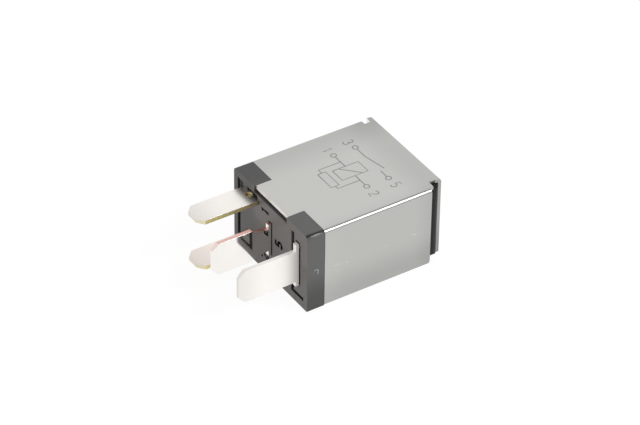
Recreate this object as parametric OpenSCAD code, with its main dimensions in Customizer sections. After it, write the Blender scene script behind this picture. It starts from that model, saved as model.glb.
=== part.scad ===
// Four-terminal plug-in relay lying on its underside: a moulded base and inner housing,
// wrapped by one folded metal cover, with the coil, yoke, armature and contacts inside.
// X runs across the width, Y from the blades to the far end, Z out of the marked face.
// The origin is the middle of the seating face.

/* [Body] */
// Width between the two long sides
body_w = 22.8; // [22.6:0.1:25]
// Thickness from the underside to the marked face
body_h = 15.5; // [15:0.1:17]
// Length from the seating face to the outside of the end flap
body_len = 27.5; // [26.6:0.1:32]

/* [Cover] */
// Thickness of the folded sheet
sheet_t = 0.65; // [0.5:0.05:0.7]
// Outside radius of the sheet's two upper folds
fold_r = 0.75; // [0.75:0.05:1.1]
// Outside radius of the sheet's two lower folds
low_fold_r = 0.45; // [0.4:0.05:0.8]
// Width of the tongue that reaches forward between the corner blocks
tongue_w = 9.9; // [9:0.1:11.6]
// Distance from the seating face back to the tongue's front edge
tongue_back = 0.35; // [0.2:0.05:1]
// How far the end flap stands beyond the underside and the long side next to terminal 3
side_back = 3.15; // [2.2:0.05:3.6]
// How far the end flap stands beyond the marked face and the other long side
face_back = 2.45; // [2:0.05:3]
// Distance from the outside of the end flap to the far ends of the notches
notch_back = 1.3; // [1.2:0.05:1.8]
// Depth of the marked face's notch on the left
notch_d = 1.4; // [0.8:0.1:1.8]
// Depth of the marked face's notch on the right
notch_right = 2.2; // [1:0.1:2.6]
// How far the end flap stops short of the long side next to terminal 3
flap_short = 2.0; // [0.4:0.1:2.4]
// Height of the end flap's lower edge over the underside
flap_lift = 0.1; // [0:0.05:2]

/* [Base and housing] */
// Length of the base's flange, flush with the cover
flange_len = 3.35; // [3.2:0.05:4]
// Radius of the flange's two lower long edges
flange_r = 0.2; // [0.15:0.05:0.6]
// Radius of the flange's long edge over terminal 3
key_r = 1.0; // [0.8:0.1:1.4]
// Thickness of the rim outside the grooves
rim_t = 1.15; // [0.8:0.05:1.3]
// Width of the grooves in the base's front
groove_w = 0.85; // [0.7:0.05:1]
// Depth of the grooves in the base's front
groove_d = 2.6; // [1.5:0.1:2.8]
// Wall thickness of the inner housing
wall_t = 0.85; // [0.7:0.05:1]

/* [Terminals] */
// Width of the two load blades, terminals 3 and 5
load_w = 6.3; // [5.9:0.1:6.5]
// Width of the two coil blades, terminals 1 and 2
coil_w = 4.8; // [4.5:0.1:5]
// Thickness of every blade
blade_t = 0.8; // [0.75:0.05:0.85]
// Reach of terminals 1 and 2 out of the seating face
blade_len = 11.2; // [10:0.1:13]
// Extra reach of terminal 5
lead_5 = 0.2; // [0:0.1:1]
// Extra reach of terminal 3
lead_3 = 0.3; // [0:0.1:1.5]
// Distance between the two coil blades
coil_pitch = 9.4; // [9.2:0.1:9.8]
// Distance of the coil blades' middle from the long side next to them
coil_row = 5.05; // [4.8:0.05:5.4]
// Distance of terminal 3's middle from the long side next to it
load_row = 3.0; // [2.8:0.1:3.2]
// Distance between terminals 5 and 3
load_pitch = 8.4; // [8.2:0.1:8.6]
// Height of the blades over the middle of the thickness
blade_rise = 0.2; // [0:0.05:0.3]

/* [Coil and contacts] */
// Thickness of the yoke and of the armature
iron_t = 1.2; // [1:0.05:1.3]
// Radius of the coil's iron core
core_r = 2.6; // [2:0.1:2.8]
// Angle that the armature closes through
stroke_deg = 3.2; // [2:0.1:3.6]
// Thickness of the contact spring
spring_t = 0.2; // [0.15:0.01:0.25]
// Radius of the contact rivets' heads
contact_r = 1.35; // [1:0.05:1.5]
// Length of the resistor's body
resistor_len = 5.6; // [5:0.1:6.4]

/* [Hidden] */
$fn = 48;

// Clearances
skin_gap = 0.05;
slot_gap = 0.03;
pole_gap = 0.05;

// Cover
half_w = body_w / 2;
half_h = body_h / 2;
side_end = body_len - side_back;
face_end = body_len - face_back;
strip_y = body_len - notch_back;
corner_r = 0.75;
flap_inset = 0.25;
seam_gap = 0.15;

// Housing
shell_x = half_w - sheet_t - skin_gap;
shell_z = half_h - sheet_t - skin_gap;
shell_end = body_len - sheet_t - skin_gap;
shell_r = 0.7;
shell_end_r = 1.7;
cav_x = shell_x - wall_t;
cav_z = shell_z - wall_t;
cav_end = shell_end - 1;

// Places of the blades
x1 = coil_row - half_w;
x3 = half_w - load_row;
x5 = x3 - load_pitch;

// Base
plug_len = 3.6;
base_rear = flange_len + plug_len;
island_drop = 0.55;
island_top = half_h - sheet_t - island_drop;
groove_foot = 0.65;
groove_low = -half_h + rim_t;
key_low = groove_low + 0.4;
key_groove_x = x3 - blade_t / 2 - 1.5;
foot_y = base_rear - 2;
pocket_d = 1.4;
pocket_gap = 0.2;
recess_d = 0.25;
recess_rim = 0.5;
eye_w = 3.2;
eye_h = 0.6;
eye_d = 1.5;
eye_shift = 0.35;

// Terminals
tip_cut = 1.2;
tip_thin = 0.25;
tip_ramp = 0.7;
pip_y = -0.2;
pip_r = 0.4;
ear_len = 0.6;
ear3_low = -load_w / 2 - 0.9;
ear3_high = load_w / 2 + 1.4;
root_w = 4.8;
tail_w = 4.4;
post_w = 2.2;
wire_hole_r = 0.34;
wire_r = 0.3;

// Magnet
hinge_x = x3 - blade_t / 2;
tube_t = 0.6;
flange_t = 0.9;
pole_t = 0.9;
pole_r = core_r + 1.2;
stake_r = core_r - 1;
iron_w = 2 * cav_z - 2.9;
yoke_foot = 3.6;
riser_x = -(cav_x - 1.2);
contact_x = riser_x + 2;
tip_x = contact_x - 1.8;
flange_x0 = contact_x + contact_r + 0.15;
flange_x1 = hinge_x - iron_t - 0.25;
flange_x = (flange_x1 - flange_x0) / 2;
flange_z = cav_z - 0.35;
coil_x = flange_x1 - flange_x;
head_t = 0.6;
tail_t = 0.25;
shank_r = 0.6;
spring_w = 5.2;
spring_tip_w = 3.4;
stop_len = 0.8;
arm_rise = (hinge_x - tip_x) * sin(stroke_deg);
pole_y = cav_end - stop_len - pole_gap - arm_rise - spring_t - iron_t - pole_gap;
hinge_y = pole_y + pole_gap;
arm_x1 = hinge_x - 0.45;
arm_reach = 3.9;
arm_x0 = coil_x - arm_reach;
spring_y = hinge_y + iron_t;
knee_r = 0.4;
spring_leg = 7.8;
spring_leg_y = base_rear + spring_leg;
tail_len = 6;
tail_end = base_rear + tail_len;
shelf_y = spring_y - 2 * head_t - pole_gap;
rivet_in = 3.1;
rivet_step = 2;
rivet_ys = [base_rear + rivet_in, base_rear + rivet_in + rivet_step];
arm_rivet_out = 1.9;
arm_rivet_xs = [coil_x - arm_rivet_out, coil_x + arm_rivet_out];
bobbin_y0 = base_rear + iron_t + skin_gap;
bobbin_y1 = pole_y - pole_t - skin_gap;
winding_r0 = core_r + tube_t + slot_gap;
winding_fill = 0.79;
winding_r = winding_r0 + winding_fill * (min(flange_x, flange_z) - winding_r0);
lead_angle = 37;
lead_in = 0.16;

// Resistor
resistor_x = x1 + 0.1;
resistor_in = 3.2;
resistor_y = base_rear + resistor_in;
resistor_r = 1.05;
post_over = 1.1;
post_end = resistor_y + post_over;
lead_tip_z = (coil_pitch / 2 + blade_t / 2 + cav_z - blade_rise) / 2;

// Points of an arc about c, from angle a0 to a1
function arc(c, r, a0, a1, n = 12) =
    [for (i = [0:n]) c + r * [cos(a0 + (a1 - a0) * i / n), sin(a0 + (a1 - a0) * i / n)]];

// The same points in the opposite order
function reversed(pts) = [for (i = [len(pts) - 1:-1:0]) pts[i]];

// Rectangle with round corners, about the origin
module round_rect(w, h, r) {
    square([w - 2 * r, h], center = true);
    square([w, h - 2 * r], center = true);
    for (x = [-1, 1], y = [-1, 1])
        translate([x * (w / 2 - r), y * (h / 2 - r)]) circle(r);
}

// The same rectangle with a radius of its own at each upper corner
module keyed_rect(w, h, r, r_left, r_right) {
    difference() {
        round_rect(w, h, r);
        translate([-w / 2 - 1, h / 2 - r_left]) square(r_left + 1);
        translate([w / 2 - r_right, h / 2 - r_right]) square(r_right + 1);
    }
    translate([r_left - w / 2, h / 2 - r_left]) circle(r_left);
    translate([w / 2 - r_right, h / 2 - r_right]) circle(r_right);
}

// Extrudes a section drawn in X and Z along Y
module along_y(y0, y1) {
    translate([0, y1, 0]) rotate([90, 0, 0]) linear_extrude(y1 - y0) children();
}

// Extrudes a section drawn in Y and Z along X
module along_x(x0, x1) {
    translate([x0, 0, 0]) rotate([90, 0, 90]) linear_extrude(x1 - x0) children();
}

// Block between two opposite corners
module block(low, high) {
    translate(low) cube(high - low);
}

// Cylinder along Y
module rod_y(x, z, y0, y1, r) {
    translate([x, y1, z]) rotate([90, 0, 0]) cylinder(h = y1 - y0, r = r);
}

// Cylinder along X
module rod_x(y, z, x0, x1, r) {
    translate([x0, y, z]) rotate([0, 90, 0]) cylinder(h = x1 - x0, r = r);
}

// Round wire between two points
module wire(a, b, r) {
    d = b - a;
    turn = atan2(d[1], d[0]);
    lean = acos(d[2] / norm(d));
    translate(a) rotate([0, lean, turn]) cylinder(h = norm(d), r = r, $fn = 24);
}

// Puts what moves in its open, released position
module released() {
    translate([hinge_x, hinge_y, 0])
        rotate([0, 0, -stroke_deg])
            translate([-hinge_x, -hinge_y, 0]) children();
}

// The cover's sheet where it wraps the long sides, open at a seam under the middle; the underside
// and the side next to terminal 3 are shorter, and that side's lower far corner is round
module cover_wrap() {
    difference() {
        along_y(flange_len + skin_gap, face_end)
            difference() {
                keyed_rect(body_w, body_h, low_fold_r, fold_r, fold_r);
                round_rect(body_w - 2 * sheet_t, body_h - 2 * sheet_t, fold_r - sheet_t);
                translate([-seam_gap / 2, -half_h - 1]) square([seam_gap, sheet_t + 2]);
            }
        block([half_w - fold_r, side_end, -half_h - 1], [half_w + 1, face_end + 1, half_h + 1]);
        block([-half_w - 1, side_end, -half_h - 1], [half_w + 1, face_end + 1, -half_h + sheet_t]);
        along_x(half_w - fold_r, half_w + 1)
            translate([side_end - corner_r, -half_h + corner_r])
                difference() {
                    translate([0, -corner_r - 1]) square(corner_r + 1);
                    circle(corner_r);
                }
    }
}

// The marked face's sheet past the notches, folded down into the end flap
module cover_end() {
    bend = [body_len - fold_r, half_h - fold_r];
    in_r = fold_r - sheet_t;
    low = -half_h + flap_lift;
    outside = arc(bend, fold_r, 0, 90);
    strip = [[strip_y, half_h], [strip_y, half_h - sheet_t]];
    inside = arc(bend, in_r, 90, 0);
    block([-half_w + notch_d, face_end - 1, half_h - sheet_t],
          [half_w - notch_right, strip_y + 0.1, half_h]);
    along_x(-half_w + flap_inset, half_w - flap_short)
        polygon(concat([[body_len, low]], outside, strip, inside, [[body_len - sheet_t, low]]));
}

module cover() {
    color("silver") {
        cover_wrap();
        cover_end();
        block([-tongue_w / 2, tongue_back, half_h - sheet_t], [tongue_w / 2, flange_len + 1, half_h]);
    }
}

// Deep cup inside the cover, its mouth over the base's plug
module housing() {
    stop_y = cav_end - stop_len;
    color("#1c1c1e") {
        difference() {
            intersection() {
                along_y(flange_len, shell_end) round_rect(2 * shell_x, 2 * shell_z, shell_r);
                along_x(-half_w, half_w)
                    translate([shell_end - body_len, 0]) round_rect(2 * body_len, 2 * shell_z, shell_r);
                linear_extrude(body_h, center = true)
                    translate([0, shell_end - body_len]) round_rect(2 * shell_x, 2 * body_len, shell_end_r);
            }
            block([-cav_x, flange_len - 1, -cav_z], [cav_x, cav_end, cav_z]);
        }
        block([tip_x - 0.4, stop_y, -1.5], [tip_x + 0.8, cav_end + 0.5, 1.5]);
    }
}

// Grooves that the base's front is cored out with
module grooves() {
    left = -half_w + rim_t;
    block([left, -1, groove_low], [left + groove_w, groove_d, island_top - 0.15]);
    block([left, -1, groove_low], [x1 + 0.6, groove_d, groove_low + groove_foot]);
    block([key_groove_x, -1, key_low], [key_groove_x + groove_w, groove_d, island_top - 0.35]);
    block([key_groove_x, -1, key_low], [half_w - rim_t, groove_d, key_low + groove_foot]);
}

// Way through the base for one upright blade, with a wider pocket at the front
module upright_slot(x, ear_low, ear_high) {
    t = blade_t / 2 + slot_gap;
    p = blade_t / 2 + pocket_gap;
    r = root_w / 2 + slot_gap;
    translate([x, 0, blade_rise]) {
        block([-t, -1, -r], [t, base_rear + 1, r]);
        block([-p, -1, ear_low - pocket_gap], [p, pocket_d, ear_high + pocket_gap]);
    }
}

// Way through the base for the coil blade on side 1 or -1, with a shallow recess that runs out
// to height edge_z and a deeper eye at the blade's outer face
module flat_slot(side, edge_z) {
    z = side * coil_pitch / 2 + blade_rise;
    t = blade_t / 2 + slot_gap;
    w = coil_w / 2 + slot_gap;
    r = w + recess_rim;
    eye_x = x1 + eye_shift;
    eye_z = z + side * (t + eye_h);
    block([x1 - w, -1, z - t], [x1 + w, base_rear + 1, z + t]);
    block([x1 - r, -1, min(z, edge_z)], [x1 + r, recess_d, max(z, edge_z)]);
    block([eye_x - eye_w / 2, -1, min(z, eye_z)], [eye_x + eye_w / 2, eye_d, max(z, eye_z)]);
}

// Channel in the base's rear for the foot of terminal 5
module foot_channel() {
    w = tail_w / 2 + slot_gap;
    block([riser_x - 0.1, foot_y, -w], [x5 + blade_t / 2 + slot_gap, base_rear + 1, w]);
}

module base() {
    notch = tongue_w / 2 + skin_gap;
    color("#2b2b2e")
        difference() {
            union() {
                along_y(0, flange_len) keyed_rect(body_w, body_h, flange_r, fold_r, key_r);
                block([-cav_x + skin_gap, 1, -cav_z + skin_gap],
                      [cav_x - skin_gap, base_rear, cav_z - skin_gap]);
            }
            block([-notch, -1, island_top], [notch, flange_len + 1, half_h + 1]);
            grooves();
            upright_slot(x5, -load_w / 2, load_w / 2);
            upright_slot(x3, ear3_low, ear3_high);
            flat_slot(1, island_top - 0.2);
            flat_slot(-1, groove_low + groove_foot + 0.4);
            foot_channel();
        }
}

// Side view of a blade with thinned tip: length along X, thickness along Y
module tip_profile(tip, end) {
    t = blade_t / 2;
    polygon([
        [-tip, -tip_thin], [-tip + tip_ramp, -t], [end, -t],
        [end, t], [-tip + tip_ramp, t], [-tip, tip_thin]
    ]);
}

// Blade standing in the plane of Y and Z, cut to an outline drawn as children
module upright_blade(x, tip, end) {
    translate([x, 0, blade_rise])
        intersection() {
            along_x(-blade_t, blade_t) children();
            rotate([0, 0, 90]) linear_extrude(4 * load_w, center = true) tip_profile(tip, end);
        }
}

// Outline of the outer end of a blade of width w
function blade_tip(tip, w) = [
    [-tip + tip_cut, -w / 2], [-tip, -w / 2 + tip_cut],
    [-tip, w / 2 - tip_cut], [-tip + tip_cut, w / 2]
];

// Coil terminal on side 1 or -1: a flat blade with a pierced root and a narrow post for the wires
module coil_terminal(side) {
    w = coil_w / 2;
    p = post_w / 2;
    outline = concat(
        [[base_rear - 0.8, -w]], blade_tip(blade_len, coil_w),
        [[base_rear - 0.8, w], [base_rear - 0.8, p], [post_end, p],
         [post_end, -p], [base_rear - 0.8, -p]]
    );
    color("#d8d4cc")
        translate([x1, 0, side * coil_pitch / 2 + blade_rise])
            difference() {
                intersection() {
                    rotate([0, 0, 90]) linear_extrude(2 * blade_t, center = true) polygon(outline);
                    rotate([90, 0, 90])
                        linear_extrude(2 * coil_w, center = true) tip_profile(blade_len, post_end + 1);
                }
                translate([0, pip_y, 0]) cylinder(h = 2 * blade_t, r = pip_r, center = true);
                translate([0, pip_y, blade_t / 2 - 0.2]) cylinder(h = 0.4, r1 = pip_r, r2 = pip_r + 0.4);
                translate([resistor_x - x1, resistor_y, 0])
                    cylinder(h = 2 * blade_t, r = wire_hole_r, center = true);
            }
}

module terminal_1() {
    coil_terminal(1);
}

module terminal_2() {
    coil_terminal(-1);
}

// Common terminal, a straight stamping whose tail lies on the yoke
module terminal_3() {
    tip = blade_len + lead_3;
    w = load_w / 2;
    r = root_w / 2;
    t = tail_w / 2;
    outline = concat(
        [[-ear_len, -w]], blade_tip(tip, load_w),
        [[-ear_len, w], [-ear_len, ear3_high], [pocket_d - 0.1, ear3_high], [pocket_d - 0.1, r],
         [base_rear, r], [base_rear, t], [tail_end, t], [tail_end, -t],
         [base_rear, -t], [base_rear, -r], [pocket_d - 0.1, -r], [pocket_d - 0.1, ear3_low],
         [-ear_len, ear3_low]]
    );
    color("#dedbd6")
        difference() {
            upright_blade(x3, tip, tail_end + 1) polygon(outline);
            for (y = rivet_ys)
                rod_x(y, 0, x3 - 1, x3 + 1, shank_r + slot_gap);
        }
}

// Load terminal: the blade turns across the base's rear, rises beside the coil and
// ends in a shelf for the fixed contact
module terminal_5() {
    w = load_w / 2;
    n = root_w / 2;
    tip = blade_len + lead_5;
    step_y = -3.7;
    outline = concat(
        [[step_y, -w]], blade_tip(tip, load_w),
        [[step_y, w], [step_y + 0.6, w - 0.6], [-ear_len, w - 0.9], [-ear_len, w],
         [pocket_d - 0.1, w], [pocket_d - 0.1, n], [foot_y + blade_t / 2, n],
         [foot_y + blade_t / 2, -n], [pocket_d - 0.1, -n], [pocket_d - 0.1, -w],
         [-ear_len, -w], [-ear_len, -w + 0.9], [step_y + 0.6, -w + 0.6]]
    );
    color("#dedbd6")
        difference() {
            union() {
                upright_blade(x5, tip, foot_y + 1) polygon(outline);
                linear_extrude(tail_w, center = true) riser_profile();
            }
            rod_y(contact_x, 0, shelf_y - blade_t - 1, shelf_y + 1, shank_r + slot_gap);
        }
}

// Foot, riser and shelf of terminal 5 seen from the marked face
module riser_profile() {
    t = blade_t;
    r = 0.3;
    foot = [riser_x + r + t, foot_y + r + t];
    head = [riser_x + r + t, shelf_y - r - t];
    shelf_x = contact_x + 1.6;
    polygon(concat(
        [[x5 + t / 2, foot_y]],
        reversed(arc(foot, r + t, 180, 270)),
        arc(head, r + t, 180, 90),
        [[shelf_x, shelf_y], [shelf_x, shelf_y - t]],
        reversed(arc(head, r, 180, 90)),
        arc(foot, r, 180, 270),
        [[x5 + t / 2, foot_y + t]]
    ));
}

// Angled iron frame that carries the core and the hinge edge
module yoke() {
    inner_x = hinge_x - iron_t;
    foot_x = coil_x - yoke_foot;
    y0 = base_rear;
    r = 0.3;
    bend = [inner_x - r, y0 + iron_t + r];
    color("#8c8f94")
        difference() {
            linear_extrude(iron_w, center = true)
                polygon(concat(
                    [[foot_x, y0 + iron_t], [foot_x, y0]],
                    arc(bend, iron_t + r, 270, 360),
                    [[hinge_x, pole_y], [inner_x, pole_y]],
                    arc(bend, r, 360, 270)
                ));
            rod_y(coil_x, 0, y0 - 1, y0 + iron_t + 1, stake_r + slot_gap);
            for (y = rivet_ys)
                rod_x(y, 0, inner_x - 1, hinge_x + 1, shank_r + slot_gap);
        }
}

module core() {
    color("#a4a6aa") {
        rod_y(coil_x, 0, base_rear, base_rear + iron_t + 0.5, stake_r);
        rod_y(coil_x, 0, base_rear + iron_t, pole_y - 0.1, core_r);
        rod_y(coil_x, 0, pole_y - pole_t, pole_y, pole_r);
    }
}

// Spool with two flat flanges
module bobbin() {
    color("#d9d2bd")
        difference() {
            union() {
                rod_y(coil_x, 0, bobbin_y0, bobbin_y1, core_r + tube_t);
                for (y = [bobbin_y0, bobbin_y1 - flange_t])
                    along_y(y, y + flange_t)
                        translate([coil_x, 0]) round_rect(2 * flange_x, 2 * flange_z, 1.5);
            }
            rod_y(coil_x, 0, bobbin_y0 - 1, bobbin_y1 + 1, core_r + slot_gap);
        }
}

module winding() {
    y0 = bobbin_y0 + flange_t;
    y1 = bobbin_y1 - flange_t;
    color("#b4602c")
        difference() {
            rod_y(coil_x, 0, y0 + slot_gap, y1 - slot_gap, winding_r);
            rod_y(coil_x, 0, y0 - 1, y1 + 1, winding_r0);
        }
}

// Wire end from the winding to the post of a coil terminal, side 1 or -1
module coil_lead(side) {
    y = bobbin_y0 + flange_t + 0.4;
    r = winding_r - lead_in;
    post_z = side * coil_pitch / 2 + blade_rise;
    start = [coil_x - r * cos(lead_angle), y, side * r * sin(lead_angle)];
    end = [x1 + post_w / 2 - 0.2, y, post_z - side * 0.2];
    color("#b4602c") wire(start, end, 0.12);
}

module coil_lead_1() {
    coil_lead(1);
}

module coil_lead_2() {
    coil_lead(-1);
}

module armature() {
    color("#8c8f94")
        released()
            difference() {
                block([arm_x0, hinge_y, -iron_w / 2], [arm_x1, hinge_y + iron_t, iron_w / 2]);
                for (x = arm_rivet_xs)
                    rod_y(x, 0, hinge_y - 1, hinge_y + iron_t + 1, shank_r + slot_gap);
            }
}

// Leaf on top of the armature, bent round its hinge edge and down the yoke's side
module contact_spring() {
    s = sin(stroke_deg);
    c = cos(stroke_deg);
    leg_x = hinge_x + slot_gap;
    under = [hinge_x, hinge_y] + iron_t * [s, c];
    knee_x = leg_x - knee_r;
    knee = [knee_x, under[1] - (knee_r + (knee_x - under[0]) * s) / c];
    along = [-c, s];
    up = [s, c];
    tip = under + (hinge_x - tip_x) * along;
    color("#c98a4b")
        difference() {
            linear_extrude(spring_w, center = true)
                polygon(concat(
                    [tip, tip + spring_t * up],
                    arc(knee, knee_r + spring_t, 90 - stroke_deg, 0),
                    [[leg_x + spring_t, spring_leg_y], [leg_x, spring_leg_y]],
                    arc(knee, knee_r, 0, 90 - stroke_deg)
                ));
            for (side = [-1, 1])
                translate([0, 0, side * (spring_tip_w + spring_w) / 2])
                    block([tip_x - 1, spring_y - 1, -spring_w / 2],
                          [arm_x0 - 0.3, cav_end, spring_w / 2]);
            released() {
                rod_y(contact_x, 0, spring_y - 1, spring_y + 1, shank_r + slot_gap);
                for (x = arm_rivet_xs)
                    rod_y(x, 0, spring_y - 1, spring_y + 1, shank_r + slot_gap);
            }
        }
}

// Rivet along Y: head from y_head to y_seat, shank on to y_tail, then the closed end
module rivet_y(x, y_head, y_seat, y_tail, y_end, r_head) {
    rod_y(x, 0, min(y_head, y_end), max(y_head, y_end), shank_r);
    rod_y(x, 0, min(y_head, y_seat), max(y_head, y_seat), r_head);
    rod_y(x, 0, min(y_tail, y_end), max(y_tail, y_end), shank_r + 0.3);
}

module armature_rivets() {
    top = spring_y + spring_t;
    color("#b9bcc0")
        released()
            for (x = arm_rivet_xs) {
                rod_y(x, 0, hinge_y + 0.05, top, shank_r);
                rod_y(x, 0, top, top + tail_t, shank_r + 0.4);
            }
}

module moving_contact() {
    color("#d5d2c8")
        released()
            rivet_y(contact_x, spring_y - head_t, spring_y, spring_y + spring_t,
                    spring_y + spring_t + tail_t, contact_r);
}

module fixed_contact() {
    color("#d5d2c8")
        rivet_y(contact_x, shelf_y + head_t, shelf_y, shelf_y - blade_t,
                shelf_y - blade_t - tail_t, contact_r);
}

// Two rivets that join terminal 3 to the yoke
module yoke_rivets() {
    inner_x = hinge_x - iron_t;
    outer_x = hinge_x + blade_t;
    color("#b9bcc0")
        for (y = rivet_ys) {
            rod_x(y, 0, inner_x - tail_t, outer_x + tail_t, shank_r);
            rod_x(y, 0, inner_x - tail_t, inner_x, shank_r + 0.25);
            rod_x(y, 0, outer_x, outer_x + tail_t, shank_r + 0.35);
        }
}

module resistor_body() {
    color("#7fa3b8")
        translate([resistor_x, resistor_y, blade_rise])
            cylinder(h = resistor_len, r = resistor_r, center = true);
}

// Lead from one end of the resistor through the post of a coil terminal
module resistor_lead(side) {
    z0 = resistor_len / 2;
    color("#d8d4cc")
        translate([resistor_x, resistor_y, blade_rise])
            mirror([0, 0, side > 0 ? 0 : 1])
                translate([0, 0, z0]) cylinder(h = lead_tip_z - z0, r = wire_r);
}

module resistor_lead_1() {
    resistor_lead(1);
}

module resistor_lead_2() {
    resistor_lead(-1);
}

cover();
housing();
base();
terminal_1();
terminal_2();
terminal_3();
terminal_5();
yoke();
core();
bobbin();
winding();
coil_lead_1();
coil_lead_2();
armature();
contact_spring();
armature_rivets();
moving_contact();
fixed_contact();
yoke_rivets();
resistor_body();
resistor_lead_1();
resistor_lead_2();
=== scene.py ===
import math

import bmesh
import bpy
from mathutils import Matrix, Vector


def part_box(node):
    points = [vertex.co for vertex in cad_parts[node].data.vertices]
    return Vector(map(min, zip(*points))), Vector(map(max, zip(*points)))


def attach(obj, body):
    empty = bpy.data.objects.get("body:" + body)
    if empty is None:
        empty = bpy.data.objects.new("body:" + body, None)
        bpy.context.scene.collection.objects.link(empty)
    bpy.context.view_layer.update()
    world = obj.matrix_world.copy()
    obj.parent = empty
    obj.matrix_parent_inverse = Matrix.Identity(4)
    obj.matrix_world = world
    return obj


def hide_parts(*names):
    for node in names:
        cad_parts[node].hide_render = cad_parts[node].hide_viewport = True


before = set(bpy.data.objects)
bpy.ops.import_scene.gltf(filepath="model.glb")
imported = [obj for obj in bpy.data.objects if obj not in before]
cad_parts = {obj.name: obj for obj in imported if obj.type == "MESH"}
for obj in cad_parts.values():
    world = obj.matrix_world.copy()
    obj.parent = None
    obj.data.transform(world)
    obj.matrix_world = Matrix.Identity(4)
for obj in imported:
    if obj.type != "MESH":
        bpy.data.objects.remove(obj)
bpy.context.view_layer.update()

MM = 0.001
BLACK = (0.0, 0.0, 0.0)
WHITE = (1.0, 1.0, 1.0)

# Camera: a long lens, looking down over the corner beside terminal 3
LENS = 186.29
SENSOR_WIDTH = 36.0
AIM = Vector((-1.576, 10.782, 0.1395)) * MM
CAMERA_DISTANCE = 0.55239
CAMERA_AZIMUTH = math.radians(56.8545)
CAMERA_ELEVATION = math.radians(37.4872)
CAMERA_ROLL = math.radians(0.7621)

# Table: its clearance keeps it from showing through the underside
TABLE_CLEARANCE = 0.02 * MM
TABLE_HALF_WIDTH = 3.0
TABLE_WHITE = (0.92, 0.92, 0.91)
TABLE_GLOW = 1.05
TABLE_GLOW_SHARE = 0.88

# Surroundings: their strength as light, and what reflections lose straight above
AMBIENT = 0.6
CEILING_LOSS = 0.55

# Key lamp, in metres and watts
KEY_DIRECTION = (0.62, 0.42, 0.66)
KEY_DISTANCE = 0.55
KEY_SIZE = 0.24
KEY_POWER = 1.1

# Faces of the body, from the frame
COVER_LOW, COVER_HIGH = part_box("cover")
MARKED_FACE = COVER_HIGH.z
UNDERSIDE = COVER_LOW.z
RIGHT_SIDE = COVER_HIGH.x
BASE_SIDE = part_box("base")[1].x

# What lays a flat drawing on a face
ONTO_MARKED_FACE = Matrix.Translation((0, 0, MARKED_FACE))
ONTO_BASE_FRONT = Matrix.Rotation(math.radians(90), 4, "X")
ONTO_BASE_SIDE = Matrix.Translation((BASE_SIDE, 0, 0)) @ Matrix(
    ((0, 0, 1, 0), (1, 0, 0, 0), (0, 1, 0, 0), (0, 0, 0, 1))
)

# Broken edges of the pieces, in millimetres
COVER_EASE = 0.06
BASE_EASE = 0.045
BLADE_EASE = 0.05
WELD = 0.0005

# Angles between neighbouring faces
SAME_PLANE = math.radians(0.5)
SHARP_EDGE = math.radians(35)
GENTLE_TURN = math.radians(40)

# Sockets of the Mix node for colours, whose names repeat those for numbers
MIX_SHARE, MIX_FIRST, MIX_SECOND, MIX_RESULT = 0, 6, 7, 2


# ---------------------------------------------------------------- material tools


class Signal:
    """A value that a node gives. Arithmetic on it adds Math nodes."""

    def __init__(self, finish, socket):
        self.finish = finish
        self.socket = socket

    def math(self, operation, *values):
        settings = {"operation": operation}
        return self.finish.node("ShaderNodeMath", settings, dict(enumerate(values)))

    def __add__(self, other):
        return self.math("ADD", self, other)

    def __radd__(self, other):
        return self.math("ADD", other, self)

    def __sub__(self, other):
        return self.math("SUBTRACT", self, other)

    def __rsub__(self, other):
        return self.math("SUBTRACT", other, self)

    def __neg__(self):
        return 0 - self

    def __mul__(self, other):
        return self.math("MULTIPLY", self, other)

    def __rmul__(self, other):
        return self.math("MULTIPLY", other, self)

    def __abs__(self):
        return self.math("ABSOLUTE", self)

    def root(self):
        return self.math("SQRT", self)

    def sine(self):
        return self.math("SINE", self)

    def larger(self, other):
        return self.math("MAXIMUM", self, other)

    def ramp(self, low, high):
        """0 below low, 1 above high, and a smooth rise between."""
        settings = {"interpolation_type": "SMOOTHSTEP"}
        wanted = {"Value": self, "From Min": low, "From Max": high}
        return self.finish.node("ShaderNodeMapRange", settings, wanted)


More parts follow.
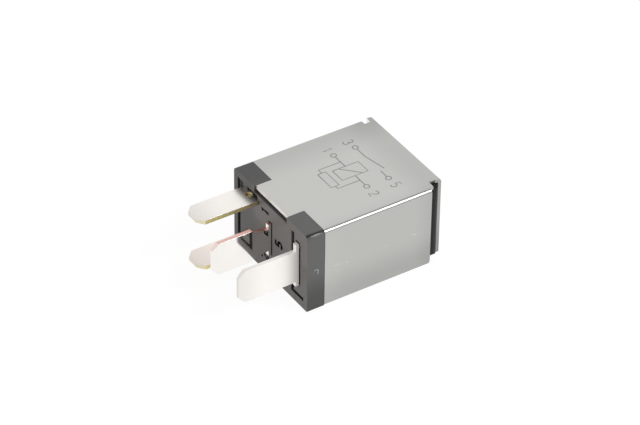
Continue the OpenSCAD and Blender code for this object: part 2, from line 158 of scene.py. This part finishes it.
class Finish:
    """The node tree of a material, on the piece's own coordinates, or of the world."""

    def __init__(self, owner):
        self.owner = owner
        owner.use_nodes = True
        self.tree = owner.node_tree
        self.tree.nodes.clear()

    def node(self, kind, settings=None, inputs=None, output=0):
        """Adds a node: its settings first, then its inputs' values or links."""
        node = self.tree.nodes.new(kind)
        for name, value in (settings or {}).items():
            setattr(node, name, value)
        for name, value in (inputs or {}).items():
            if isinstance(value, Signal):
                self.tree.links.new(value.socket, node.inputs[name])
            else:
                node.inputs[name].default_value = value
        return Signal(self, node.outputs[output])

    def place(self):
        """Position on the piece, in millimetres."""
        metres = self.node("ShaderNodeTexCoord", output="Object")
        wanted = {0: metres, "Scale": 1 / MM}
        return self.node("ShaderNodeVectorMath", {"operation": "SCALE"}, wanted)

    def axes(self, vector):
        """The three parts of a vector."""
        parts = self.node("ShaderNodeSeparateXYZ", None, {0: vector}).socket.node
        return [Signal(self, socket) for socket in parts.outputs]

    def facing(self):
        """The three parts of the surface's own normal, on the piece's axes."""
        return self.axes(self.node("ShaderNodeTexCoord", output="Normal"))

    def noise(self, place, grain, stretch=(1, 1, 1), detail=3.0, roughness=0.5):
        """Cloudy variation from 0 to 1, grain millimetres across, drawn out by stretch."""
        scale = [1 / (grain * s) for s in stretch]
        drawn = self.node("ShaderNodeMapping", None, {"Vector": place, "Scale": scale})
        wanted = {"Vector": drawn, "Scale": 1.0, "Detail": detail, "Roughness": roughness}
        return self.node("ShaderNodeTexNoise", None, wanted)

    def blend(self, share, first, second):
        """first where share is 0, second where it is 1."""
        settings = {"data_type": "RGBA", "clamp_factor": True}
        wanted = {MIX_SHARE: share, MIX_FIRST: colour(first), MIX_SECOND: colour(second)}
        return self.node("ShaderNodeMix", settings, wanted, output=MIX_RESULT)

    def bump(self, height, depth):
        """A normal for a height from 0 to 1 that stands depth millimetres deep."""
        wanted = {"Strength": 1.0, "Distance": depth * MM, "Height": height}
        return self.node("ShaderNodeBump", None, wanted)

    def end(self, kind, shader):
        """Links the tree's last shader to an output node of that kind."""
        output = self.tree.nodes.new(kind)
        self.tree.links.new(shader.socket, output.inputs["Surface"])

    def surface(self, **values):
        """Ends the tree in one Principled shader and gives the material."""
        sockets = {
            "base": "Base Color", "metallic": "Metallic", "roughness": "Roughness", "ior": "IOR",
            "normal": "Normal", "coat": "Coat Weight", "coat_roughness": "Coat Roughness",
            "coat_ior": "Coat IOR",
        }
        wanted = {sockets[name]: value for name, value in values.items()}
        shader = self.node("ShaderNodeBsdfPrincipled", None, wanted)
        self.end("ShaderNodeOutputMaterial", shader)
        return self.owner


def colour(value):
    """A tuple of three as the four that a colour socket takes. A signal stays as it is."""
    return (*value, 1.0) if isinstance(value, tuple) else value


def flatness(normal, low, high):
    """1 on faces square to the piece's axes, and 0 on its folds and rounded edges."""
    nx, ny, nz = (abs(part) for part in normal)
    return nx.larger(ny).larger(nz).ramp(low, high)


def mottled(name, drift, shades, rough, depth, relief=None, **constants):
    """A finish whose colour and roughness drift together.

    drift and relief are what Finish.noise takes, for the drift and for the bump, which follows
    the drift where relief is None. shades are the colours at drift 0 and 1, rough is the
    roughness at drift 0 and what the drift adds, and depth is the bump's, in millimetres.
    """
    f = Finish(bpy.data.materials.new(name))
    place = f.place()
    cloud = f.noise(place, **drift)
    height = f.noise(place, **relief) if relief else cloud
    least, rise = rough
    return f.surface(
        base=f.blend(cloud, *shades),
        roughness=least + rise * cloud,
        normal=f.bump(height, depth),
        **constants,
    )


# ---------------------------------------------------------------- finishes


def tinned_sheet():
    """The cover: satin tinned sheet, glossier on folds, with painted shade darkening it towards
    its far and lower edges.
    """
    f = Finish(bpy.data.materials.new("tinned_sheet"))
    place = f.place()
    x, y, z = f.axes(place)
    nx, ny, nz = f.facing()
    stain = f.noise(place, 9.0, detail=4.0)
    grain = f.noise(place, 0.05, stretch=(1.0, 28.0, 1.0), detail=2.0)
    grit = f.noise(place, 0.09, detail=2.0)

    # Painted light and shade: the top darker to the left, towards the far end and by the right
    # fold; the right side darker low down and towards the far end, most of all at its far edge.
    left = 1 - x.ramp(-11.0, -3.0)
    upper = 1 - 0.16 * left - 0.14 * y.ramp(19.0, 25.5) - 0.05 * x.ramp(8.5, 11.0)
    low = 1 - z.ramp(-6.5, 0.0)
    lateral = 0.875 - 0.17 * low - 0.08 * y.ramp(20.5, 24.5) - 0.03 * y.ramp(4.0, 8.0)
    lateral = lateral - 0.16 * y.ramp(25.2, 25.5)
    painted_light = upper + (lateral - upper) * nx.ramp(0.3, 0.8)

    flat = flatness((nx, ny, nz), 0.90, 0.985)
    sheared = (-ny).ramp(0.5, 0.8)
    on_right_side = x.ramp(RIGHT_SIDE / MM - 0.3, RIGHT_SIDE / MM - 0.1)
    scratch = handling_marks(f, y, z) * on_right_side
    base = f.blend(stain, (0.60, 0.60, 0.58), (0.64, 0.635, 0.615))
    # Painted shade: the colour on the folds darkened to 62 per cent of that of the flat faces.
    base = f.blend(painted_light * (0.62 + 0.38 * flat), BLACK, base)
    base = f.blend(grain * 0.2, base, (0.50, 0.50, 0.49))
    base = f.blend(scratch * 0.5, base, (0.80, 0.79, 0.77))
    # Painted highlight: the cut edges that face the front painted near white.
    base = f.blend(sheared, base, (0.93, 0.91, 0.88))
    return f.surface(
        base=base,
        metallic=0.92,
        roughness=0.13 + (0.21 + 0.10 * stain + 0.05 * grain) * flat - 0.08 * scratch,
        normal=f.bump(grain * 0.6 + grit * 0.4 - scratch * 0.8, 0.004),
    )


def handling_marks(f, y, z):
    """A few short scuffs on the right side."""
    marks = [  # start and end along Y, height at the start, and slope
        (4.85, 8.61, -0.1, -0.11),
        (14.82, 16.0, -0.03, -0.35),
        (20.27, 22.0, 0.16, -0.42),
    ]
    taper = 0.5
    worn = f.noise(f.place(), 0.5, detail=3.0).ramp(0.4, 0.6)
    total = 0.0
    for start, end, height, slope in marks:
        across = 1 - abs(z - height - slope * (y - start)).ramp(0.03, 0.14)
        along = y.ramp(start, start + taper) * (1 - y.ramp(end - taper, end))
        total = across * along + total
    return total * worn


def moulded_black():
    """Base: glass-filled black plastic, glossy on its rounded edges, with painted light and shade
    in its colour.
    """
    f = Finish(bpy.data.materials.new("moulded_black"))
    place = f.place()
    x, y, z = f.axes(place)
    nx, ny, nz = f.facing()
    flow = f.noise(place, 4.0, stretch=(1.0, 1.0, 2.2), detail=3.0)
    erosion = f.noise(place, 0.06, detail=3.0, roughness=0.6)
    dust = f.noise(place, 0.12, detail=1.0).ramp(0.74, 0.78)

    # Painted light and shade: lighter to the right and, on the front, towards the top; darker low
    # down on the right; the rounded upper edge painted dark.
    front = (-ny).ramp(0.5, 0.9)
    right = x.ramp(-7.0, -3.0)
    low = 1 - z.ramp(-5.5, 0.5)
    rounded = nx.ramp(0.2, 0.4) * nz.ramp(0.55, 0.75)
    plain = 0.46 + 0.29 * right - 0.40 * low * right - 0.65 * rounded
    facing_out = 0.47 + 0.27 * right + 0.55 * right * z.ramp(0.6, 3.4)
    painted_light = plain + (facing_out - plain) * front

    # Painted light: the front faces get a warmer tint than the other faces.
    tint = f.blend(front, (0.136, 0.135, 0.133), (0.150, 0.138, 0.131))
    shade = f.blend(painted_light * (0.92 + 0.16 * flow), BLACK, tint)
    shade = f.blend(dust * 0.25, shade, (0.30, 0.29, 0.27))
    flat = flatness((nx, ny, nz), 0.88, 0.98)
    return f.surface(
        base=shade,
        metallic=0.0,
        roughness=0.12 + (0.22 + 0.14 * flow + 0.06 * erosion) * flat,
        ior=1.52,
        normal=f.bump(erosion * 0.7 + flow * 0.3, 0.012),
    )


def deep_black(name, ior, highlit=False):
    """Housing, and what is sunk in the base: black plastic painted near black, as painted shade
    where light hardly reaches.

    Where asked, it is painted light grey instead: a painted highlight on a raised mark.
    """
    # Painted shade: near black, far darker than the base's own plastic.
    shades = (0.003, 0.003, 0.003), (0.008, 0.008, 0.008)
    if highlit:
        # Painted highlight: light grey shades for a raised mark that catches the light.
        shades = (0.279, 0.303, 0.315), (0.338, 0.368, 0.383)
    erosion = {"grain": 0.08, "detail": 3.0, "roughness": 0.6}
    return mottled(name, erosion, shades, (0.5, 0.2), 0.01, metallic=0.0, ior=ior)


def tinned_blade(name, rough, pale, fade, bare=None):
    """Tin over strip, with painted shade darkening it towards the tip.

    rough is the tin's roughness, pale its colour and fade the share of light lost at the tip.
    bare is what bare_edges takes, or None where tin covers the sheared edges too.
    """
    f = Finish(bpy.data.materials.new(name))
    place = f.place()
    y = f.axes(place)[1]
    drag = f.noise(place, 0.25, stretch=(1.0, 9.0, 1.0), detail=3.0)
    cloud = f.noise(place, 2.2, detail=4.0)
    speck = f.noise(place, 0.22, detail=1.0).ramp(0.72, 0.78)
    base = f.blend(cloud, tuple(0.95 * c for c in pale), pale)
    base = f.blend(speck * 0.3, base, (0.66, 0.62, 0.58))
    # Painted shade: the colour darkens towards the tip.
    base = f.blend(1 - fade * (1 - y.ramp(-12.0, -5.0)), BLACK, base)
    roughness = rough + 0.04 * cloud + 0.03 * drag + 0.1 * speck
    if bare:
        share, metal = bare_edges(f, place, **bare)
        base = f.blend(share, base, metal)
        roughness = roughness + share * 0.3
    height = drag * 0.5 + cloud * 0.5
    return f.surface(base=base, metallic=1.0, roughness=roughness, normal=f.bump(height, 0.0015))


def bare_edges(f, place, edge, root_shade, axis, middle, hole=None):
    """How bare a blade is, from 0 to 1 on its sheared edges, and its colour there.

    edge is the bare metal's colour, and the next colour is painted shade near the root; axis is
    the blade's thickness axis and middle its middle on that axis; hole is the pierced hole's X and
    Y.
    """
    position = f.axes(place)
    normal = f.facing()
    side = 1 - abs(normal[axis]).ramp(0.35, 0.75)
    burr = 1 - abs(position[axis] - middle).ramp(0.31, 0.39)
    endwise = abs(normal[1])
    share = side * burr
    x, y, _ = position
    if hole:
        dx, dy = x - hole[0], y - hole[1]
        radius = (dx * dx + dy * dy).root()
        share = share * (1 - 0.75 * endwise.ramp(0.5, 0.8))
        share = share.larger(1 - radius.ramp(0.72, 0.9))
    else:
        share = share * (1 - endwise.ramp(0.6, 0.85))
    shear = f.noise(place, 0.12, stretch=(1.0, 1.0, 5.0), detail=2.0)
    fresh = f.blend(shear, tuple(0.7 * c for c in edge), edge)
    # Painted shade: the bare edges darken towards the root, where the black base shades them.
    return share, f.blend(y.ramp(-8.0, -1.0) * 0.6, fresh, root_shade)


def flashed_iron():
    """Yoke, core and armature: soft iron with a thin nickel flash."""
    drift = {"grain": 1.6, "detail": 4.0}
    shades = (0.42, 0.42, 0.43), (0.56, 0.56, 0.57)
    rolled = {"grain": 0.08, "stretch": (1.0, 14.0, 1.0), "detail": 2.0}
    return mottled("flashed_iron", drift, shades, (0.3, 0.14), 0.006, rolled, metallic=1.0)


def enamelled_wire(name, turns):
    """Copper winding wire under clear enamel. turns is the pitch of its turns, or None."""
    f = Finish(bpy.data.materials.new(name))
    place = f.place()
    cloud = f.noise(place, 1.2, detail=3.0)
    base = f.blend(cloud, (0.48, 0.17, 0.06), (0.66, 0.28, 0.11))
    height = cloud
    if turns:
        y = f.axes(place)[1]
        height = (y * (2 * math.pi / turns)).sine() * 0.5 + 0.5
        # Painted shade: the grooves between the turns darkened.
        base = f.blend(height * 0.7, (0.24, 0.08, 0.03), base)
    return f.surface(
        base=base, metallic=0.9, roughness=0.28, normal=f.bump(height, 0.05),
        coat=0.6, coat_roughness=0.08, coat_ior=1.5,
    )


def natural_nylon():
    """Bobbin: natural glass-filled nylon."""
    f = Finish(bpy.data.materials.new("natural_nylon"))
    place = f.place()
    cloud = f.noise(place, 2.5, detail=4.0)
    fibre = f.noise(place, 0.08, stretch=(1.0, 3.0, 1.0), detail=2.0)
    base = f.blend(cloud, (0.60, 0.55, 0.42), (0.72, 0.68, 0.55))
    return f.surface(
        base=base, metallic=0.0, roughness=0.42 + 0.1 * fibre, ior=1.53,
        normal=f.bump(fibre, 0.01),
    )


def spring_strip():
    """Contact spring: rolled copper alloy strip."""
    drift = {"grain": 1.8, "detail": 4.0}
    shades = (0.66, 0.36, 0.18), (0.80, 0.50, 0.27)
    rolled = {"grain": 0.05, "stretch": (24.0, 1.0, 1.0), "detail": 2.0}
    return mottled("spring_strip", drift, shades, (0.2, 0.12), 0.003, rolled, metallic=1.0)


def contact_silver():
    """Contact rivets: matt silver with a fine pitted face."""
    pits = {"grain": 0.1, "detail": 3.0}
    shades = (0.70, 0.69, 0.65), (0.86, 0.85, 0.81)
    return mottled("contact_silver", pits, shades, (0.3, 0.15), 0.008, metallic=1.0)


def zinc_rivet():
    """Steel rivets with a blue-white zinc finish."""
    drift = {"grain": 0.5, "detail": 3.0}
    shades = (0.58, 0.60, 0.63), (0.74, 0.74, 0.72)
    return mottled("zinc_rivet", drift, shades, (0.25, 0.12), 0.01, metallic=1.0)


def laser_mark():
    """Lines burnt into the tin: a matt grey, uneven from pulse to pulse."""
    pulse = {"grain": 0.12, "detail": 2.0}
    shades = (0.22, 0.22, 0.21), (0.34, 0.34, 0.32)
    return mottled("laser_mark", pulse, shades, (0.55, 0.1), 0.004, metallic=0.4)


def lacquered_resistor():
    """Resistor body: blue-grey lacquer with colour-code bands along its length."""
    f = Finish(bpy.data.materials.new("lacquered_resistor"))
    low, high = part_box("resistor_body")
    middle = (low.z + high.z) / 2 / MM
    length = (high.z - low.z) / MM
    place = f.place()
    z = f.axes(place)[2]
    lacquer = f.noise(place, 0.7, detail=3.0)
    base = f.blend(lacquer, (0.12, 0.24, 0.34), (0.17, 0.31, 0.42))
    brown, black, gold = (0.30, 0.10, 0.03), (0.02, 0.02, 0.02), (0.55, 0.38, 0.10)
    for share, band in ((-0.34, brown), (-0.18, black), (-0.02, brown), (0.30, gold)):
        ring = 1 - abs(z - middle - share * length).ramp(0.18, 0.24)
        base = f.blend(ring, base, band)
    return f.surface(
        base=base, metallic=0.0, roughness=0.22 + 0.08 * lacquer, ior=1.5, coat=0.3,
        normal=f.bump(lacquer, 0.02),
    )


# ---------------------------------------------------------------- pieces


def paint(piece, material):
    """Gives a piece one material."""
    piece.data.materials.clear()
    piece.data.materials.append(material)


def join(piece, material):
    """Puts a new piece in the scene with its material, and on the case with its slot."""
    bpy.context.scene.collection.objects.link(piece)
    paint(piece, material)
    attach(piece, "case")


def smooth(piece):
    """Shades gentle turns as round and keeps the large faces flat."""
    piece.data.shade_smooth()
    piece.data.set_sharp_from_angle(angle=GENTLE_TURN)
    flats = piece.modifiers.new("flats", "WEIGHTED_NORMAL")
    flats.mode = "FACE_AREA"
    flats.weight = 100
    flats.keep_sharp = True


def eased_copy(node, radius, material):
    """The CAD piece's own form with its sharp edges broken, which stands for the CAD piece."""
    shape = bmesh.new()
    shape.from_mesh(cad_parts[node].data)
    bmesh.ops.remove_doubles(shape, verts=shape.verts, dist=WELD * MM)
    bmesh.ops.dissolve_limit(
        shape, angle_limit=SAME_PLANE, verts=shape.verts, edges=shape.edges
    )
    sharp = [e for e in shape.edges if e.is_manifold and e.calc_face_angle() > SHARP_EDGE]
    bmesh.ops.bevel(
        shape, geom=sharp, offset=radius * MM, offset_type="OFFSET", affect="EDGES",
        segments=2, profile=0.5, material=-1, clamp_overlap=True,
    )
    mesh = bpy.data.meshes.new(f"{node}_eased")
    shape.to_mesh(mesh)
    shape.free()
    piece = bpy.data.objects.new(f"{node}_eased", mesh)
    join(piece, material)
    smooth(piece)
    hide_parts(node)


def arc(x, y, r, start, end, steps=10):
    """Points of an arc from one angle to another, in degrees."""
    angles = [math.radians(start + (end - start) * i / steps) for i in range(steps + 1)]
    return [(x + r * math.cos(a), y + r * math.sin(a)) for a in angles]


def circle(x, y, r):
    """Points round a whole circle."""
    return arc(x, y, r, 0, 360, 20)


def rectangle(left, low, right, high):
    """Points round a rectangle."""
    return [(left, low), (right, low), (right, high), (left, high), (left, low)]


NUMERALS = {
    "1": [[(-0.28, 0.62), (0.08, 1.0), (0.08, -1.0)]],
    "2": [arc(0, 0.47, 0.5, 165, -35) + [(-0.5, -1.0), (0.52, -1.0)]],
    "3": [arc(0, 0.5, 0.47, 145, -90) + arc(0, -0.48, 0.52, 90, -150)],
    "5": [[(0.45, 1.0), (-0.38, 1.0), (-0.45, 0.12)] + arc(0, -0.4, 0.58, 125, -145)],
}


def numeral(figure, x, y, height, breadth=1.0, turned=False):
    """The strokes of a numeral of that height, about its middle, upright or on its back."""
    k = height / 2
    strokes = [[(breadth * px, py) for px, py in stroke] for stroke in NUMERALS[figure]]
    if turned:
        strokes = [[(-py, px) for px, py in stroke] for stroke in strokes]
    return [[(x + k * px, y + k * py) for px, py in stroke] for stroke in strokes]


def drawn_lines(name, strokes, width, relief, place, material):
    """Strokes drawn flat in X and Y, in millimetres, laid on a face by the matrix place.

    Each is a round bead of that width, pressed down until it stands relief proud.
    """
    line = bpy.data.curves.new(name, "CURVE")
    line.dimensions = "3D"
    line.bevel_depth = width / 2 * MM
    line.bevel_resolution = 2
    line.use_fill_caps = True
    for stroke in strokes:
        spline = line.splines.new("POLY")
        spline.points.add(len(stroke) - 1)
        for point, (x, y) in zip(spline.points, stroke):
            point.co = (x * MM, y * MM, 0, 1)
    loose = bpy.data.objects.new(name, line)
    bpy.context.scene.collection.objects.link(loose)
    bpy.context.view_layer.update()
    finished = loose.evaluated_get(bpy.context.evaluated_depsgraph_get())
    mesh = bpy.data.meshes.new_from_object(finished)
    bpy.data.objects.remove(loose)
    mesh.transform(place @ Matrix.Diagonal((1, 1, 2 * relief / width, 1)))
    mesh.shade_smooth()
    join(bpy.data.objects.new(name, mesh), material)


def circuit_marking(material):
    """The circuit diagram on the marked face: switch 3 to 5, coil 1 to 2 with its resistor."""
    ring = 0.49
    coil_y, switch_y, resistor_y = 15.72, 20.03, 11.36
    coil_left, coil_right = -1.67, 1.34
    resistor_left, resistor_right = -2.1, 2.08
    strokes = [
        rectangle(coil_left, 13.2, coil_right, 18.29),
        [(coil_left, 14.34), (coil_right, 17.2)],
        rectangle(resistor_left, 10.57, resistor_right, 12.1),
        circle(-5.23, coil_y, ring),
        circle(4.84, coil_y, ring),
        [(-4.74, coil_y), (coil_left, coil_y)],
        [(coil_right, coil_y), (4.35, coil_y)],
        [(-3.11, coil_y), (-3.11, resistor_y), (resistor_left, resistor_y)],
        [(2.83, coil_y), (2.83, resistor_y), (resistor_right, resistor_y)],
        circle(-5.2, switch_y, ring),
        [(-4.71, switch_y), (-2.18, switch_y), (2.21, 20.96)],
        [(2.49, switch_y), (4.34, switch_y)],
        circle(4.83, switch_y, ring),
        *numeral("3", -7.15, 19.84, 1.85),
        *numeral("5", 6.97, 20.05, 1.85, 0.78),
        *numeral("1", -7.05, 15.63, 1.75),
        *numeral("2", 7.07, 15.68, 1.75),
    ]
    drawn_lines(
        "circuit_marking", strokes, 0.19, 0.006, ONTO_MARKED_FACE, material
    )


def terminal_numbers(material):
    """The numbers moulded beside the blades on the base's front, drawn in near black as the
    painted shade of their recesses.
    """
    strokes = [
        *numeral("1", -1.6, 4.72, 2.1, turned=True),
        *numeral("2", -1.71, -4.6, 2.1, turned=True),
        *numeral("5", 2.65, 0.6, 1.9, turned=True),
        *numeral("3", 5.35, -0.6, 1.6, turned=True),
    ]
    drawn_lines(
        "terminal_numbers", strokes, 0.56, 0.03, ONTO_BASE_FRONT, material
    )


def pocket_shade(material):
    """A painted shadow: a black strip along terminal 3's outer side, where the gap of the pocket
    that it stands in lies in shade.
    """
    strokes = [[(8.0, 5.0), (8.8, 4.9), (9.08, 4.5), (9.08, -3.5)]]
    drawn_lines("pocket_shade", strokes, 0.36, 0.02, ONTO_BASE_FRONT, material)


def mould_tick(material):
    """Small hooked ejector mark on the side of the base, beside terminal 3, drawn light grey as a
    painted highlight.
    """
    strokes = [[(1.3, 0.5), (2.0, 0.42), (2.12, 0.15), (2.0, -0.5)]]
    drawn_lines("mould_tick", strokes, 0.26, 0.04, ONTO_BASE_SIDE, material)


def blades():
    """The terminals: brass under the coil blades' tin, copper under the fixed contact's."""
    # The second colour of each is painted shade near the root.
    brass = {"edge": (0.90, 0.81, 0.36), "root_shade": (0.46, 0.34, 0.26)}
    copper = {"edge": (0.95, 0.64, 0.57), "root_shade": (0.88, 0.36, 0.34)}
    hole_y = -0.2
    # Painted shade: terminal 2's tin is darker and pinker than terminal 1's.
    for node, pale in (("terminal_1", (0.96, 0.92, 0.875)), ("terminal_2", (0.93, 0.85, 0.79))):
        low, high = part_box(node)
        middle = (low + high) / 2 / MM
        bare = {**brass, "axis": 2, "middle": middle.z, "hole": (middle.x, hole_y)}
        tin = tinned_blade(f"{node}_tin", 0.24, pale, 0.17, bare)
        eased_copy(node, BLADE_EASE, tin)
    bare = {**copper, "axis": 0, "middle": 0.0}
    mirror = tinned_blade("terminal_5_tin", 0.03, (0.975, 0.945, 0.91), 0.05, bare)
    eased_copy("terminal_5", BLADE_EASE, mirror)
    satin = tinned_blade("terminal_3_tin", 0.68, (0.99, 0.965, 0.935), 0.12)
    eased_copy("terminal_3", BLADE_EASE, satin)


def inner_pieces():
    """The magnet, the contact train and the resistor, which keep their CAD forms."""
    bright = (0.955, 0.925, 0.89)
    iron, rivet, silver = flashed_iron(), zinc_rivet(), contact_silver()
    for nodes, material in (
        (("yoke", "core", "armature"), iron),
        (("armature_rivets", "yoke_rivets"), rivet),
        (("moving_contact", "fixed_contact"), silver),
        (("bobbin",), natural_nylon()),
        (("winding",), enamelled_wire("winding_wire", 0.14)),
        (("coil_lead_1", "coil_lead_2"), enamelled_wire("lead_wire", None)),
        (("contact_spring",), spring_strip()),
        (("resistor_body",), lacquered_resistor()),
        (("resistor_lead_1", "resistor_lead_2"), tinned_blade("tinned_wire", 0.08, bright, 0.0)),
    ):
        for node in nodes:
            paint(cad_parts[node], material)


# ---------------------------------------------------------------- studio


def seen_and_mirrored(f):
    """Two switches: 1 for what the camera sees, and 1 for what metal or glass shows."""
    path = f.node("ShaderNodeLightPath").socket.node
    rays = ("Is Camera Ray", "Is Glossy Ray", "Is Transmission Ray")
    seen, glossy, through = (Signal(f, path.outputs[name]) for name in rays)
    return seen, glossy.larger(through)


def floor():
    """A plain white table top under the part. It keeps a soft shadow."""
    shape = bmesh.new()
    bmesh.ops.create_grid(shape, x_segments=1, y_segments=1, size=TABLE_HALF_WIDTH)
    bmesh.ops.translate(shape, verts=shape.verts, vec=(0, 0, UNDERSIDE - TABLE_CLEARANCE))
    mesh = bpy.data.meshes.new("floor")
    shape.to_mesh(mesh)
    shape.free()
    table = bpy.data.objects.new("floor", mesh)
    bpy.context.scene.collection.objects.link(table)
    f = Finish(bpy.data.materials.new("white_table"))
    seen, mirrored = seen_and_mirrored(f)
    share = seen.larger(mirrored) * TABLE_GLOW_SHARE
    paper = f.node("ShaderNodeBsdfDiffuse", None, {"Color": colour(TABLE_WHITE)})
    wanted = {"Color": colour(WHITE), "Strength": TABLE_GLOW}
    glow = f.node("ShaderNodeEmission", None, wanted)
    mixed = f.node("ShaderNodeMixShader", None, {0: share, 1: paper, 2: glow})
    f.end("ShaderNodeOutputMaterial", mixed)
    mesh.materials.append(f.owner)


def studio_world():
    """White surroundings: full white to look at, softer as light, and darker straight above."""
    world = bpy.data.worlds.new("studio")
    bpy.context.scene.world = world
    f = Finish(world)
    upward = f.axes(f.node("ShaderNodeTexCoord", output="Generated"))[2]
    seen, mirrored = seen_and_mirrored(f)
    ceiling = 1 - CEILING_LOSS * upward.ramp(0.74, 0.92)
    strength = seen.larger(mirrored * ceiling).larger(AMBIENT)
    wanted = {"Color": colour(WHITE), "Strength": strength}
    f.end("ShaderNodeOutputWorld", f.node("ShaderNodeBackground", None, wanted))


def softbox(name, direction, distance, size, power):
    """A square lamp that faces the part from a direction."""
    lamp = bpy.data.lights.new(name, "AREA")
    lamp.size = size
    lamp.energy = power
    light = bpy.data.objects.new(name, lamp)
    bpy.context.scene.collection.objects.link(light)
    away = Vector(direction).normalized()
    light.location = AIM + away * distance
    light.rotation_euler = away.to_track_quat("Z", "Y").to_euler()


def camera():
    """The camera, placed by its angles about the point that it looks at."""
    lens = bpy.data.cameras.new("camera")
    lens.lens = LENS
    lens.sensor_width = SENSOR_WIDTH
    view = bpy.data.objects.new("camera", lens)
    bpy.context.scene.collection.objects.link(view)
    back = Vector((
        math.sin(CAMERA_AZIMUTH) * math.cos(CAMERA_ELEVATION),
        -math.cos(CAMERA_AZIMUTH) * math.cos(CAMERA_ELEVATION),
        math.sin(CAMERA_ELEVATION),
    ))
    turn = (
        Matrix.Rotation(CAMERA_AZIMUTH, 3, "Z")
        @ Matrix.Rotation(math.pi / 2 - CAMERA_ELEVATION, 3, "X")
        @ Matrix.Rotation(CAMERA_ROLL, 3, "Z")
    )
    view.location = AIM + back * CAMERA_DISTANCE
    view.rotation_euler = turn.to_euler()
    bpy.context.scene.camera = view


def main():
    """The studio first, then the pieces, then what is drawn on them."""
    camera()
    studio_world()
    floor()
    softbox("key", KEY_DIRECTION, KEY_DISTANCE, KEY_SIZE, KEY_POWER)
    bpy.context.scene.view_settings.view_transform = "Standard"

    eased_copy("cover", COVER_EASE, tinned_sheet())
    eased_copy("base", BASE_EASE, moulded_black())
    # The housing painted near black: painted shade in the dark gap where it shows beside the end
    # flap.
    paint(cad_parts["housing"], deep_black("housing_black", 1.36))
    blades()
    inner_pieces()

    circuit_marking(laser_mark())
    # Painted shade: the numbers and the pocket's gap drawn in near black.
    sunk = deep_black("sunk_black", 1.0)
    terminal_numbers(sunk)
    pocket_shade(sunk)
    # Painted highlight: the mould tick drawn in light grey.
    mould_tick(deep_black("highlit_black", 1.4, highlit=True))


main()
